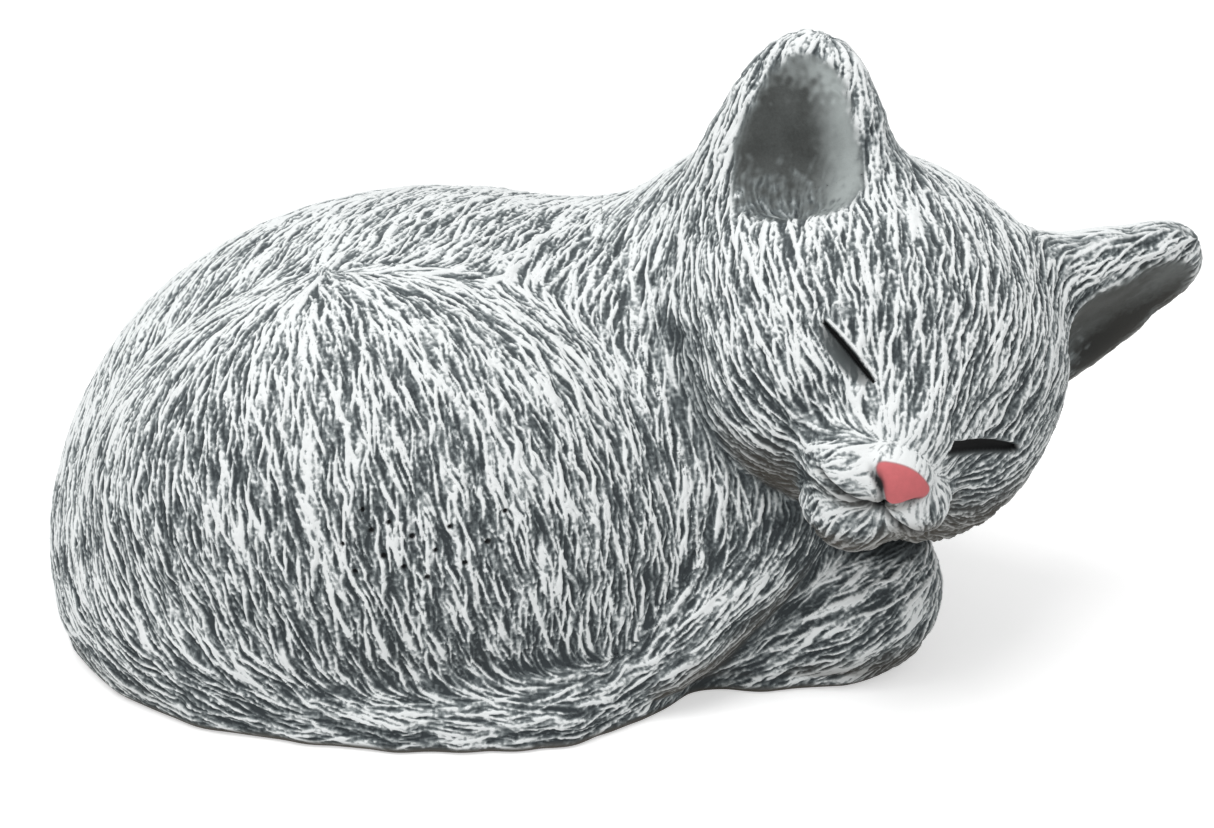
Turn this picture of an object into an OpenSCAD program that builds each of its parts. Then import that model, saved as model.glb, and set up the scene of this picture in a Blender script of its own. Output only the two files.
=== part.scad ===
// Sleeping kitten figurine, curled up on a flat base.
// Millimetres, +Z up. +X runs from the rump towards the head, and -Y is the side that the
// face looks to. The origin lies on the flat base, near its middle.
// Each casting is a rounded form, and every form is cut to fit the forms that it butts
// against, so neighbours meet face to face whatever the sizes are.

/* [Trunk] */
// Length of the trunk from the rump towards the chest
trunk_length = 143; // [118:1:172]
// Depth of the trunk from the belly to the spine
trunk_depth = 114; // [96:1:134]
// Height of the back above the base
back_height = 80; // [66:1:97]
// How far the trunk's oval would reach below the base if it weren't cut flat
trunk_sink = 30; // [20:1:40]
// Length of the low oval that fills out the rump
rump_length = 94; // [80:1:110]
// Depth of the rump oval
rump_depth = 92; // [78:1:108]
// Height of the rump oval above the base
rump_height = 48; // [40:1:56]

/* [Shoulder] */
// Width of the shoulder mass, along X
shoulder_width = 84; // [72:1:96]
// Depth of the shoulder mass, along Y
shoulder_depth = 88; // [76:1:102]
// Height of the shoulders above the base
shoulder_height = 78; // [66:1:88]
// Diameter of the neck behind the head
neck_d = 54; // [44:1:62]

/* [Haunch] */
// Length of the near hind leg's dome
haunch_length = 116; // [98:1:134]
// Depth of the dome
haunch_depth = 72; // [59:1:87]
// Height of the dome above the base
haunch_height = 77; // [66:1:90]

/* [Tail] */
// Diameter of the tail where it leaves the rump
tail_root_d = 18; // [14:0.5:22]
// Diameter of the tail along the front of the haunch
tail_mid_d = 15; // [12:0.5:18.5]
// Diameter of the tail at its tip
tail_tip_d = 15.5; // [12:0.5:19]
// Height of the tip's middle above the base
tail_rise = 31; // [24:1:38]

/* [Forepaw] */
// Width of the folded paw
paw_width = 33; // [27:1:40]
// Height of the paw above the base
paw_height = 30.5; // [25:0.5:36]
// Diameter of the foreleg where it passes under the tail
foreleg_d = 21; // [17:0.5:25]

/* [Head] */
// Width of the skull across the temples
head_width = 72; // [59:1:87]
// Depth of the skull from the brow to the nape
head_depth = 66; // [56:1:78]
// Height of the skull from the crown to the jaw
head_height = 63; // [54:1:74]
// Height of the head's centre above the base
head_lift = 61.6; // [56:0.2:68]
// Sideways tilt of the head, in degrees
head_tilt = 33; // [24:1:42]
// Turn of the face towards the far side, in degrees
head_turn = 7.5; // [0:0.5:16]
// Diameter of a cheek
cheek_d = 37; // [31:1:43]
// Length of the closed eye's slit, in a straight line
eye_length = 13; // [10:0.5:16]
// Diameter of the round-bottomed groove that draws the closed eye
eye_groove_d = 1.6; // [1:0.1:2.4]

/* [Muzzle] */
// Width of one whisker pad
pad_width = 14; // [12:0.5:17]
// Width of the chin
chin_width = 14; // [12:0.5:17]
// Width of the nose pad
nose_width = 10.4; // [8.5:0.1:12.5]
// Height of the nose pad
nose_height = 8; // [6.5:0.1:9.5]

/* [Ears] */
// Width of an ear at its root
ear_width = 35; // [29:1:42]
// Length of an ear from its root's middle to its tip
ear_length = 27.5; // [23:0.5:33]
// Diameter of the rounded tip
ear_tip_d = 21; // [17:0.5:24]
// Thickness of the ear as a share of its width, before the bowl is hollowed
ear_flatness = 0.5; // [0.42:0.01:0.6]
// Wall left round the bowl
ear_wall = 4.6; // [3.5:0.1:6]

/* [Hidden] */

large_facets = 40;
small_facets = 24;
bead_facets = 12;
stone_grey = [0.52, 0.55, 0.56];
ear_grey = [0.42, 0.44, 0.45];
nose_pink = [0.82, 0.4, 0.4];

// A length well beyond the figurine, for cutting with half spaces
far = 400;

// Trunk and rump
trunk_centre = [-33, 8, (back_height - trunk_sink) / 2];
trunk_size = [trunk_length, trunk_depth, back_height + trunk_sink];
rump_sink = 20;
rump_overhang = 2;
rump_centre = [
    trunk_centre[0] - trunk_length / 2 + rump_length / 2 - rump_overhang,
    trunk_centre[1] - 9,
    (rump_height - rump_sink) / 2
];
rump_size = [rump_length, rump_depth, rump_height + rump_sink];

// Shoulder and neck, set back from the chest end of the trunk
shoulder_sink = 6;
shoulder_centre = [
    trunk_centre[0] + trunk_length / 2 - 20.5,
    trunk_centre[1] + 2,
    (shoulder_height - shoulder_sink) / 2
];
shoulder_size = [shoulder_width, shoulder_depth, shoulder_height + shoulder_sink];

// Where the head's centre stands over the base, and the neck behind it
head_x = shoulder_centre[0] + 26.4;
head_y = -15;
neck_centre = [head_x - 14, head_y + 20, head_lift + 2];

// Chest: fills the corner between the haunch, the tail and the head
chest_centre = [shoulder_centre[0] - 9, trunk_centre[1] - trunk_depth / 2 + 31, 30];
chest_size = [44, 48, 60];
chest_x = shoulder_centre[0] - 16;

// Haunch: its front stands a little proud of the trunk's front
haunch_sink = 14;
haunch_proud = 5;
haunch_centre = [
    trunk_centre[0] - 7,
    trunk_centre[1] - trunk_depth / 2 - haunch_proud + haunch_depth / 2,
    (haunch_height - haunch_sink) / 2
];
haunch_size = [haunch_length, haunch_depth, haunch_height + haunch_sink];

// Tail: an oval arc along the front of the haunch, which rises to its tip under the chin
tail_steps = 16;
tail_root_angle = 195;
tail_tip_angle = 335;
tail_left_reach = 54;
tail_short_of_head = 9.4;
tail_back = -5;
tail_tuck = 1.4;
tail_swell = 2;
tail_x = haunch_centre[0];
tail_right_reach = head_x - tail_short_of_head - tail_x;
tail_front = haunch_centre[1] - haunch_depth / 2 + tail_mid_d / 2 - tail_tuck;
tail_heights = [
    [0, 9],
    [0.15, 6],
    [0.35, 4.5],
    [0.6, 6.5],
    [0.72, 10],
    [0.8, 15],
    [0.9, 23],
    [1, tail_rise]
];
tail_sizes = [
    [0, tail_root_d],
    [0.3, tail_mid_d],
    [0.6, tail_mid_d + tail_swell],
    [0.8, tail_mid_d + tail_swell],
    [1, tail_tip_d]
];

// Forepaw: the paw and foreleg lie under the head
paw_sink = 3;
elbow_sink = 4;
wrist_sink = 2;
paw_centre = [head_x - 2.4, head_y - 2, (paw_height - paw_sink) / 2];
elbow_centre = [head_x - 30.4, head_y - 3, foreleg_d / 2 - elbow_sink];
wrist_centre = [head_x - 19.4, head_y - 4, foreleg_d / 2 - wrist_sink];

// Head
head_nod = -4;
head_centre = [head_x, head_y, head_lift];
skull_centre = [0, 1, 3.5];
cheek_centre = [13, -10, -9];
bridge_centre = [0, -29, -6];
bridge_size = [16, 20, 20];
bridge_root = 0.7;
groove_steps = 8;

// Closed eyes: each slit runs from the inner corner to the outer one and sags in between
eye_inner = [9.5, -33.2, -1.4];
eye_rise = 3.8;
eye_back = 6;
eye_sag = 1.6;
eye_slant = 28;

// Muzzle and nose
pad_centre = [5, -33, -15];
pad_size = [pad_width, 16, 13];
chin_centre = [0, -30, -21];
chin_size = [chin_width, 15, 11];
nose_centre = [0, -39.5, -10.5];
nose_size = [nose_width, 7, nose_height];

// Ears
left_ear_root = [-26.5, 5, 20];
right_ear_root = [27.5, 5, 21.5];
ear_turn = [23, 21, 39];
ear_steps = 5;
ear_taper = 1.3;
ear_sink = 6;
bowl_start = 0.1;
bowl_root = 0.35;
bowl_lift = 9.5;
bowl_flatness = 0.75;

// A path point and diameter of the tail at share t of its length
function tail_station(t) =
    let (angle = tail_root_angle + t * (tail_tip_angle - tail_root_angle))
    let (reach = cos(angle) < 0 ? tail_left_reach : tail_right_reach)
    [
        tail_x + reach * cos(angle),
        tail_back + (tail_front - tail_back) * -sin(angle),
        lookup(t, tail_heights),
        lookup(t, tail_sizes)
    ];

// Diameter of the ear at share t of the way from its root to its tip
function ear_d(t) = ear_width + (ear_tip_d - ear_width) * pow(t, ear_taper);

// Diameter of the bowl at share t of the way from its root to its tip
function bowl_d(t) = ear_d(bowl_root + (1 - bowl_root) * t) - 2 * ear_wall;

// A point and diameter of the eye's slit at share t of the way from its inner corner
function eye_station(t) = [
    eye_inner[0] + t * eye_length * cos(eye_slant),
    eye_inner[1] + t * eye_back,
    eye_inner[2] + eye_rise * t - eye_sag * sin(180 * t),
    eye_groove_d
];

// An oval solid from its middle and its three full sizes
module oval(centre, size, facets = large_facets) {
    translate(centre)
        scale(size / 2)
            sphere(r = 1, $fn = facets);
}

// Balls of changing diameter, each hulled to the next; a station is [x, y, z, diameter]
module ball_chain(stations, facets = small_facets) {
    for (i = [1 : len(stations) - 1]) {
        hull() {
            for (station = [stations[i - 1], stations[i]]) {
                translate([station[0], station[1], station[2]])
                    sphere(d = station[3], $fn = facets);
            }
        }
    }
}

// Keeps what lies above the flat base
module on_base() {
    intersection() {
        children();
        translate([-far / 2, -far / 2, 0])
            cube(far);
    }
}

// Moves its children from the head's own frame to their place
module at_head() {
    translate(head_centre)
        rotate([head_nod, head_tilt, head_turn])
            children();
}

// Moves its children from an ear's own frame, z towards the tip and -y out of the bowl
module at_ear(side) {
    at_head()
        translate(side < 0 ? left_ear_root : right_ear_root)
            mirror([side < 0 ? 1 : 0, 0, 0])
                rotate(ear_turn)
                    children();
}

module trunk_form() {
    hull() {
        oval(trunk_centre, trunk_size);
        oval(rump_centre, rump_size);
    }
}

// The trunk to one side of the chest plane: -1 is the rump's side, 1 the head's side
module trunk_end(side) {
    intersection() {
        trunk_form();
        translate([chest_x + (side - 1) * far / 2, -far / 2, -far / 2])
            cube(far);
    }
}

// The shoulder mass, with the chest end of the trunk, which belongs to it
module shoulder_form() {
    trunk_end(1);
    hull() {
        oval(shoulder_centre, shoulder_size);
        oval(chest_centre, chest_size);
        translate(neck_centre)
            sphere(d = neck_d, $fn = large_facets);
    }
}

module haunch_form() {
    oval(haunch_centre, haunch_size);
}

module tail_form() {
    ball_chain([for (i = [0 : tail_steps]) tail_station(i / tail_steps)]);
}

module forepaw_form() {
    hull() {
        translate(elbow_centre)
            sphere(d = foreleg_d, $fn = small_facets);
        translate(wrist_centre)
            sphere(d = foreleg_d, $fn = small_facets);
    }
    hull() {
        translate(wrist_centre)
            sphere(d = foreleg_d, $fn = small_facets);
        oval(paw_centre, [paw_width, paw_width, paw_height + paw_sink], small_facets);
    }
}

module head_form() {
    at_head() {
        hull() {
            oval(skull_centre, [head_width, head_depth, head_height]);
            for (side = [-1, 1]) {
                oval([side * cheek_centre[0], cheek_centre[1], cheek_centre[2]], [1, 1, 1] * cheek_d);
            }
        }
        hull() {
            oval(bridge_centre, bridge_size, small_facets);
            oval(skull_centre, [head_width, head_depth, head_height] * bridge_root);
        }
    }
}

module muzzle_form() {
    at_head() {
        for (side = [-1, 1]) {
            hull() {
                oval([side * pad_centre[0], pad_centre[1], pad_centre[2]], pad_size, small_facets);
                oval(chin_centre, chin_size, small_facets);
            }
        }
    }
}

module nose_form() {
    at_head()
        oval(nose_centre, nose_size, small_facets);
}

module ear_form(side) {
    at_ear(side) {
        scale([1, ear_flatness, 1]) {
            for (i = [1 : ear_steps]) {
                hull() {
                    for (t = [(i - 1) / ear_steps, i / ear_steps]) {
                        translate([0, 0, t * (ear_length - ear_tip_d / 2) - (1 - t) * ear_sink])
                            sphere(d = ear_d(t), $fn = small_facets);
                    }
                }
            }
        }
    }
}

// The smooth hollow of an ear, which opens towards -y
module bowl_form(side) {
    bowl_top = ear_length - ear_tip_d / 2;
    at_ear(side) {
        translate([0, -bowl_lift, 0]) {
            scale([1, bowl_flatness, 1]) {
                for (i = [1 : ear_steps]) {
                    hull() {
                        for (t = [(i - 1) / ear_steps, i / ear_steps]) {
                            translate([0, 0, bowl_top * (bowl_start + (1 - bowl_start) * t)])
                                sphere(d = bowl_d(t), $fn = small_facets);
                        }
                    }
                }
            }
        }
    }
}

// The groove of a closed eye
module eye_groove(side) {
    at_head()
        mirror([side < 0 ? 1 : 0, 0, 0])
            ball_chain([for (i = [0 : groove_steps]) eye_station(i / groove_steps)], bead_facets);
}

module body() {
    color(stone_grey)
        difference() {
            on_base()
                trunk_end(-1);
            shoulder_form();
            haunch_form();
            tail_form();
            forepaw_form();
            head_form();
        }
}

module shoulder() {
    color(stone_grey)
        difference() {
            on_base()
                shoulder_form();
            haunch_form();
            tail_form();
            forepaw_form();
            head_form();
            muzzle_form();
            for (side = [-1, 1]) {
                ear_form(side);
                bowl_form(side);
            }
        }
}

module haunch() {
    color(stone_grey)
        difference() {
            on_base()
                haunch_form();
            tail_form();
            forepaw_form();
            head_form();
        }
}

module tail() {
    color(stone_grey)
        difference() {
            on_base()
                tail_form();
            head_form();
            muzzle_form();
        }
}

module forepaw() {
    color(stone_grey)
        difference() {
            on_base()
                forepaw_form();
            tail_form();
            head_form();
            muzzle_form();
        }
}

module head() {
    color(stone_grey)
        difference() {
            head_form();
            muzzle_form();
            nose_form();
            for (side = [-1, 1]) {
                ear_form(side);
                bowl_form(side);
                eye_groove(side);
            }
        }
}

module muzzle() {
    color(stone_grey)
        difference() {
            muzzle_form();
            nose_form();
        }
}

module nose() {
    color(nose_pink)
        nose_form();
}

module ear(side) {
    color(ear_grey)
        difference() {
            ear_form(side);
            bowl_form(side);
        }
}

module left_ear() {
    ear(-1);
}

module right_ear() {
    ear(1);
}

body();
shoulder();
haunch();
tail();
forepaw();
head();
muzzle();
nose();
left_ear();
right_ear();
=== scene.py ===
import math
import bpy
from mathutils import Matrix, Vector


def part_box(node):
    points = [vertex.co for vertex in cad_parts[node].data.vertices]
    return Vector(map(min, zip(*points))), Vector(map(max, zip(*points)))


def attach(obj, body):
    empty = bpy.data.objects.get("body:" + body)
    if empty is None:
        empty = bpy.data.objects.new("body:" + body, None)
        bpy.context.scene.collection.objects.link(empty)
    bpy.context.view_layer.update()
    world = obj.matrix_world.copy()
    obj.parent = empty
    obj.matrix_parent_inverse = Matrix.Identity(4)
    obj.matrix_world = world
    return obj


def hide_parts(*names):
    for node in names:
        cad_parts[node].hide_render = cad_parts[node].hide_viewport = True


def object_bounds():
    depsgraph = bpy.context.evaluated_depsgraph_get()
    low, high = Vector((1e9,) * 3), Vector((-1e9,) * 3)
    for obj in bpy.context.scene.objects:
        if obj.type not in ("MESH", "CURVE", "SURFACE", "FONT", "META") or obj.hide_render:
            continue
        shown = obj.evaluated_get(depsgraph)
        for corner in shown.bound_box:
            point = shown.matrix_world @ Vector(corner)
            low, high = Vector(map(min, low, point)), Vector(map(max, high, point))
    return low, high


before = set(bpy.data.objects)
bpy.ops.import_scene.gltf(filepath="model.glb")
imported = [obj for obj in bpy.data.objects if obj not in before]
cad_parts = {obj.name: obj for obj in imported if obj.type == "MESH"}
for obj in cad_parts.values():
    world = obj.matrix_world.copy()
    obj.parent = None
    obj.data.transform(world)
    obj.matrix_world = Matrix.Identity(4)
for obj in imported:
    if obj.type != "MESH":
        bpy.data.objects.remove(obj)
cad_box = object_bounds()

from concurrent.futures import ThreadPoolExecutor

import bpy
import numpy as np
from mathutils import Vector

# Sleeping kitten of cast stone with carved, dry-brushed fur.
# The figure is one smooth distance field. It is meshed once, on one grid, into the CAD's
# nodes: neighbours share the very same vertices, so every piece is a closed solid and no
# seam shows. The fur is carved into the skin by smearing a noise along the fur's direction.
# Lengths are in millimetres until the meshes are made, in the CAD's frame.

MM = 0.001
REAL = np.float32
THREADS = 4
CELL = 0.5     # grid spacing, twice the skin's mesh spacing
FLOW_CELL = 2.4                  # spacing of the coarse grid of the fur's direction
MARGIN = 2.5                     # room left round the figure in the grids
CELLS_BELOW_FLOOR = 2.5          # and under it, in grid cells
TINY = REAL(1e-6)                # keeps lengths that are divided by off zero

PIECES = ["body", "shoulder", "haunch", "tail", "forepaw", "head", "muzzle", "nose",
          "left_ear", "right_ear"]


def node_box(name):
    """Lowest and highest corner of a CAD node, in millimetres."""
    low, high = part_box(name)
    return np.array(low) / MM, np.array(high) / MM


def unit(v):
    v = np.array(v, float)
    return v / np.linalg.norm(v)


def smooth(low, high, v):
    """0 before low, 1 past high, an S curve between; low may be above high."""
    t = np.clip((v - low) / (high - low), 0, 1)
    return t * t * (3 - 2 * t)


# ------------ places, from the frame
body_low, body_high = node_box("body")
haunch_low, haunch_high = node_box("haunch")
paw_low, paw_high = node_box("forepaw")
nose_low, nose_high = node_box("nose")

# A form is an oval with a middle and three radii, or a path of stations x, y, z, radius
TRUNK_R = (71.5, 57.0, 55.0)
TRUNK = (body_low[0] + 72.6, body_high[1] - TRUNK_R[1], body_high[2] - TRUNK_R[2] + 0.8)
RUMP_R = (46.2, 48.0, 36.0)
RUMP = (TRUNK[0] - 27.5, TRUNK[1] - 9.0, 14.0)
SHOULDER_R = (42.0, 44.0, 42.0)
SHOULDER = (TRUNK[0] + 51.0, TRUNK[1] + 2.0, 36.0)
HAUNCH_R = (58.5, 36.0, 45.5)
HAUNCH = ((haunch_low[0] + haunch_high[0]) / 2, (haunch_low[1] + haunch_high[1]) / 2,
          haunch_high[2] - HAUNCH_R[2])
FOOT = 3.5                   # below this the forms go straight down to the floor
PAW_R = (17.2, 16.5, 16.9)
PAW = (paw_high[0] - PAW_R[0] + 0.3, paw_low[1] + PAW_R[1], paw_high[2] - PAW_R[2] + 1)
FORELEG = ((paw_low[0] + 10, PAW[1] - 4, 6, 10), (paw_low[0] + 21, PAW[1] - 5, 7, 10.5),
           (PAW[0] - 6, PAW[1] - 3, 11, 13))
CHEST_R = (21, 15, 28)
CHEST = (SHOULDER[0] - 9, TRUNK[1] - 26, 30)

# Stations as x and y from the haunch's middle, z and radius. The tail starts at the rump, lies
# round the foot of the haunch and climbs in front of the chest to the chin.
TAIL_ROUTE = ((-54, 3, 9, 9), (-36, -18, 5, 7.8), (-6, -27.5, 4.8, 7.7), (14, -28, 5.2, 8.0),
              (28, -26, 5.6, 8.1), (38, -18, 7.5, 8.2), (48, -16.5, 14, 8.7),
              (55.5, -13.5, 21, 8.6), (62.5, -10.5, 27.5, 8.3), (67, -8, 32, 7.8))
UNDER_TAIL_ROUTE = ((38, -19, 4, 6.5), (46, -9.5, 4, 6.5), (54, -4, 4, 6.5))

# The head's own frame: columns point to its side (+X in the world, roughly), back and up
HEAD_SIDE = unit((0.829, 0.109, -0.548))
HEAD_BACK = unit(np.cross((0.532, 0.144, 0.834), HEAD_SIDE))
HEAD_UP = np.cross(HEAD_SIDE, HEAD_BACK)
HEAD_AXES = np.stack([HEAD_SIDE, HEAD_BACK, HEAD_UP], 1).astype(REAL)
NOSE_IN_HEAD = np.array((0.0, -39.5, -10.5))
HEAD = (nose_low + nose_high) / 2 - HEAD_AXES @ NOSE_IN_HEAD
NECK = HEAD + np.array((-16.6, 20.0, 3.0))
NECK_R = (28.0, 28.0, 28.0)

# Forms of the head, in its own frame; cheeks and pads stand on both sides
SKULL, SKULL_R = (-1, 1, 2.6), (35, 33, 30)
CHEEK, CHEEK_R = (12.2, -10, -8.2), (16.4, 18.5, 16.2)
SNOUT, SNOUT_R = (0, -29, -6), (8, 10, 10)
PAD, PAD_R = (5.2, -33, -13.6), (7, 8, 5.6)
CHIN, CHIN_R = (0, -30, -21), (7, 7.5, 5.5)
NOSE_R = (5.2, 3.5, 4.0)

# Widths of the fillets where a form runs into what is there already
FILLET = {"rump": 12, "neck": 16, "chest": 10, "under_tail": 3, "paw": 5, "cheeks": 9, "snout": 8,
          "chin": 4, "tube": 1.5, "shoulder": 14, "haunch": 3, "tail": 5, "forepaw": 3,
          "muzzle": 4, "ear": 8, "bowl": 5, "nose": 1.2, "head": 3, "nape": 6, "floor": 1.6}
THROAT_FILLET = 3            # between neck and head, low down
NAPE_FILLET = 14             # and high up
NAPE_HEIGHTS = (48, 70)      # it widens between these


# ------------ distance fields
# Points come as three rows x, y, z, so that every step runs over whole rows.
def oval(p, centre, radii):
    """Signed distance, near enough, from points to an oval."""
    near = far = 0
    for row, middle, r in zip(p, centre, radii):
        a = (row - REAL(middle)) * REAL(1 / r)
        near = near + a * a
        a = a * REAL(1 / r)
        far = far + a * a
    near = np.sqrt(near)
    return near * (near - 1) / np.sqrt(far + REAL(1e-9))


def join(a, b, width):
    """The lesser of two distances, filleted over width."""
    h = np.maximum(REAL(width) - np.abs(a - b), 0)
    return np.minimum(a, b) - h * h * REAL(0.25 / width)


def cut(a, b, width):
    """a with b taken away, the edge rounded over width."""
    return -join(-a, b, width)


def tube(p, stations):
    """Distance to balls of changing radius strung along a path's stations."""
    d = None
    for start, end in zip(stations[:-1], stations[1:]):
        step = [float(b - a) for a, b in zip(start, end)]
        length_squared = step[0] ** 2 + step[1] ** 2 + step[2] ** 2
        off = [row - REAL(a) for row, a in zip(p, start)]
        t = sum(o * REAL(s / length_squared) for o, s in zip(off, step))
        t = np.clip(t, 0, 1)
        e = np.sqrt(sum((o - t * REAL(s)) ** 2 for o, s in zip(off, step)))
        e = e - (REAL(start[3]) + t * REAL(step[3]))
        d = e if d is None else join(d, e, FILLET["tube"])
    return d


def turned(p, origin, axes):
    """Points in a local frame; the axes are the columns of a 3 x 3 table."""
    off = [row - REAL(o) for row, o in zip(p, origin)]
    return [sum(o * REAL(a) for o, a in zip(off, axes[:, k])) for k in range(3)]


def by_haunch(route):
    """A route's stations in the CAD's frame."""
    x, y = HAUNCH[:2]
    return [(x + right, y + back, z, r) for right, back, z, r in route]


def smooth_path(route, steps):
    """Stations along a smooth curve through those of a route."""
    route = np.array(route)
    last = len(route) - 1
    stations = []
    for t in np.linspace(0, last, steps + 1):
        i = min(int(t), last - 1)
        before, here, ahead, after = [route[min(max(i + k, 0), last)] for k in (-1, 0, 1, 2)]
        t = t - i
        bend = (ahead - before) * (t ** 3 - 2 * t ** 2 + t) + (after - here) * (t ** 3 - t ** 2)
        step = 3 * t ** 2 - 2 * t ** 3
        stations.append(tuple(here + (ahead - here) * step + bend / 2))
    return stations


TAIL = smooth_path(by_haunch(TAIL_ROUTE), 16)
UNDER_TAIL = by_haunch(UNDER_TAIL_ROUTE)


def in_head(p):
    return turned(p, HEAD, HEAD_AXES)


class Ear:
    """One ear: an axis from root to tip, a flat rounded leaf and a shallow bowl in its front.

    Its own frame goes across (u), up to the tip (v) and out of its front (w). A squeezed
    distance is scaled down again, so that fillets keep their widths."""

    FACING = (0.5, -0.85, -0.39)                 # to the ear's own side, back and up
    LEAF_HEIGHTS = (-8, 0, 8)                    # and the ear's length, for the last radius
    LEAF_RADII = (18.5, 17, 14, 9.8)
    LEAF_SQUEEZE, LEAF_SCALE = 2, REAL(0.7)
    BOWL_FOOT = (2, 4.5, 4.5, 11.5)              # stations u, v, w, radius, with w from BOWL_OUT
    BOWL_MIDDLE = (2, 8.5, 1.2, 12)
    BOWL_TOP = (1, 0.8, -2.5, 9)                 # with v from the ear's tip
    BOWL_OUT, BOWL_SQUEEZE, BOWL_SCALE = REAL(9), REAL(0.55), REAL(0.6)
    RAGGED_CELL, RAGGED_SHIFT = 1.1, 5           # noise on the hollow's rim

    def __init__(self, side, root, axis, length, width, light):
        self.length = length
        self.width = width
        self.light = light
        self.root = np.array(root)
        self.axis = unit(axis)
        front = np.array(self.FACING) * (side, 1, 1)
        front = unit(front - self.axis * (front @ self.axis))
        self.axes = np.stack([np.cross(self.axis, front), self.axis, front], 1)

    def local(self, h):
        return turned(h, self.root, self.axes)

    def leaf(self, h):
        heights = (*self.LEAF_HEIGHTS, self.length)
        stations = [(0, v, 0, r * self.width) for v, r in zip(heights, self.LEAF_RADII)]
        u, v, w = self.local(h)
        return self.LEAF_SCALE * tube((u, v, w * self.LEAF_SQUEEZE), stations)

    def bowl(self, h):
        u, v, w = self.local(h)
        across, rise, out, radius = self.BOWL_TOP
        stations = [self.BOWL_FOOT, self.BOWL_MIDDLE, (across, self.length + rise, out, radius)]
        return self.BOWL_SCALE * tube((u, v, (w - self.BOWL_OUT) / self.BOWL_SQUEEZE), stations)

    def bare(self, h, bowl):
        """1 in the smooth hollow, fading at its rim and towards the forehead; and its paleness,
        which is painted light: paler to the outer side and tip on the lit ear, darker on the ear in
        shade.
        """
        u, v, _ = self.local(h)
        ragged = noise(h, self.RAGGED_CELL, self.RAGGED_SHIFT) - 0.1
        cover = smooth(1.5, -0.1, bowl + 0.8 * ragged) * smooth(-7, 4, v + 9 * ragged)
        beside = self.light * smooth(4.5, 13, u + 0.3 * v + 2 * ragged)
        above = (0.15 + 0.4 * max(self.light, 0)) * smooth(15, 23, v + 8 * ragged)
        return cover, beside + above


# light: how much paler each ear's hollow is, painted light; the left ear is lit, the right one in
# shade.
EARS = {"left_ear": Ear(side=-1, root=(-28.1, 5, 19.7), axis=(-0.45, -0.1, 0.88),
                        length=15.2, width=0.95, light=0.75),
        "right_ear": Ear(side=1, root=(26.4, 5, 20.7), axis=(0.53, -0.1, 0.84),
                         length=18.6, width=1.03, light=-0.2)}


def trunk_parts(p):
    """Distance to each form below the head. What touches the floor goes straight down to it."""
    low = (p[0], p[1], np.maximum(p[2], FOOT))
    d = {"haunch": oval(p, HAUNCH, HAUNCH_R), "neck": oval(p, NECK, NECK_R)}
    d["body"] = join(oval(p, TRUNK, TRUNK_R), oval(p, RUMP, RUMP_R), FILLET["rump"])
    shoulder = join(oval(p, SHOULDER, SHOULDER_R), d["neck"], FILLET["neck"])
    d["shoulder"] = join(shoulder, oval(p, CHEST, CHEST_R), FILLET["chest"])
    d["tail"] = join(tube(low, TAIL), tube(low, UNDER_TAIL), FILLET["under_tail"])
    d["forepaw"] = join(tube(low, FORELEG), oval(p, PAW, PAW_R), FILLET["paw"])
    return d


def head_parts(p):
    """Distance to each form of the head, and to the bowls of the ears."""
    h = in_head(p)
    mirrored = (np.abs(h[0]), h[1], h[2])
    skull = join(oval(h, SKULL, SKULL_R), oval(mirrored, CHEEK, CHEEK_R), FILLET["cheeks"])
    d = {"head": join(skull, oval(h, SNOUT, SNOUT_R), FILLET["snout"])}
    d["muzzle"] = join(oval(mirrored, PAD, PAD_R), oval(h, CHIN, CHIN_R), FILLET["chin"])
    d["nose"] = oval(h, NOSE_IN_HEAD, NOSE_R)
    for name, ear in EARS.items():
        d[name] = ear.leaf(h)
        d[name + "_bowl"] = ear.bowl(h)
    return d


def parts(p):
    return {**trunk_parts(p), **head_parts(p)}


def whole(p, d):
    """The figure's skin as one field, from the distances of its forms."""
    trunk = d["body"]
    for name in ("shoulder", "haunch", "tail", "forepaw"):
        trunk = join(trunk, d[name], FILLET[name])
    head = join(d["head"], d["muzzle"], FILLET["muzzle"])
    for name in EARS:
        head = join(head, d[name], FILLET["ear"])
    for name in EARS:
        head = cut(head, d[name + "_bowl"], FILLET["bowl"])
    head = join(head, d["nose"], FILLET["nose"])
    figure = join(trunk, head, FILLET["head"])
    width = THROAT_FILLET + (NAPE_FILLET - THROAT_FILLET) * smooth(*NAPE_HEIGHTS, p[2])
    figure = join(figure, join(d["neck"], head, width), FILLET["nape"])
    return cut(figure, p[2], FILLET["floor"])


def labels(f, d):
    """0 outside the skin, else 1 + the index of the nearest form."""
    best = np.full(f.shape, np.inf, REAL)
    label = np.zeros(f.shape, np.uint8)
    for index, name in enumerate(PIECES):
        closer = d[name] < best
        best = np.where(closer, d[name], best)
        label[closer] = index + 1
    label[f >= 0] = 0
    return label


# ------------ grids
class Grid:
    """Regular samples of the fields over the CAD's box."""

    def __init__(self, cell, with_labels):
        low = np.array(cad_box[0]) / MM - MARGIN
        high = np.array(cad_box[1]) / MM + MARGIN
        low[2] = -CELLS_BELOW_FLOOR * cell
        self.cell = cell
        self.low = low
        self.shape = tuple(int(n) for n in np.ceil((high - low) / cell) + 1)
        self.field = np.empty(self.shape, REAL)
        self.label = np.zeros(self.shape, np.uint8) if with_labels else None
        ys, zs = np.meshgrid(self.axis(1), self.axis(2), indexing="ij")
        self.sheet = ys.ravel().astype(REAL), zs.ravel().astype(REAL)
        with ThreadPoolExecutor(THREADS) as pool:
            list(pool.map(self.fill, range(self.shape[0])))

    def axis(self, k):
        return self.low[k] + self.cell * np.arange(self.shape[k])

    def fill(self, i):
        """Samples one sheet of constant x."""
        x = np.full(self.sheet[0].shape, self.low[0] + self.cell * i, REAL)
        p = (x, *self.sheet)
        d = parts(p)
        f = whole(p, d)
        self.field[i] = f.reshape(self.shape[1:])
        if self.label is not None:
            self.label[i] = labels(f, d).reshape(self.shape[1:])


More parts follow.
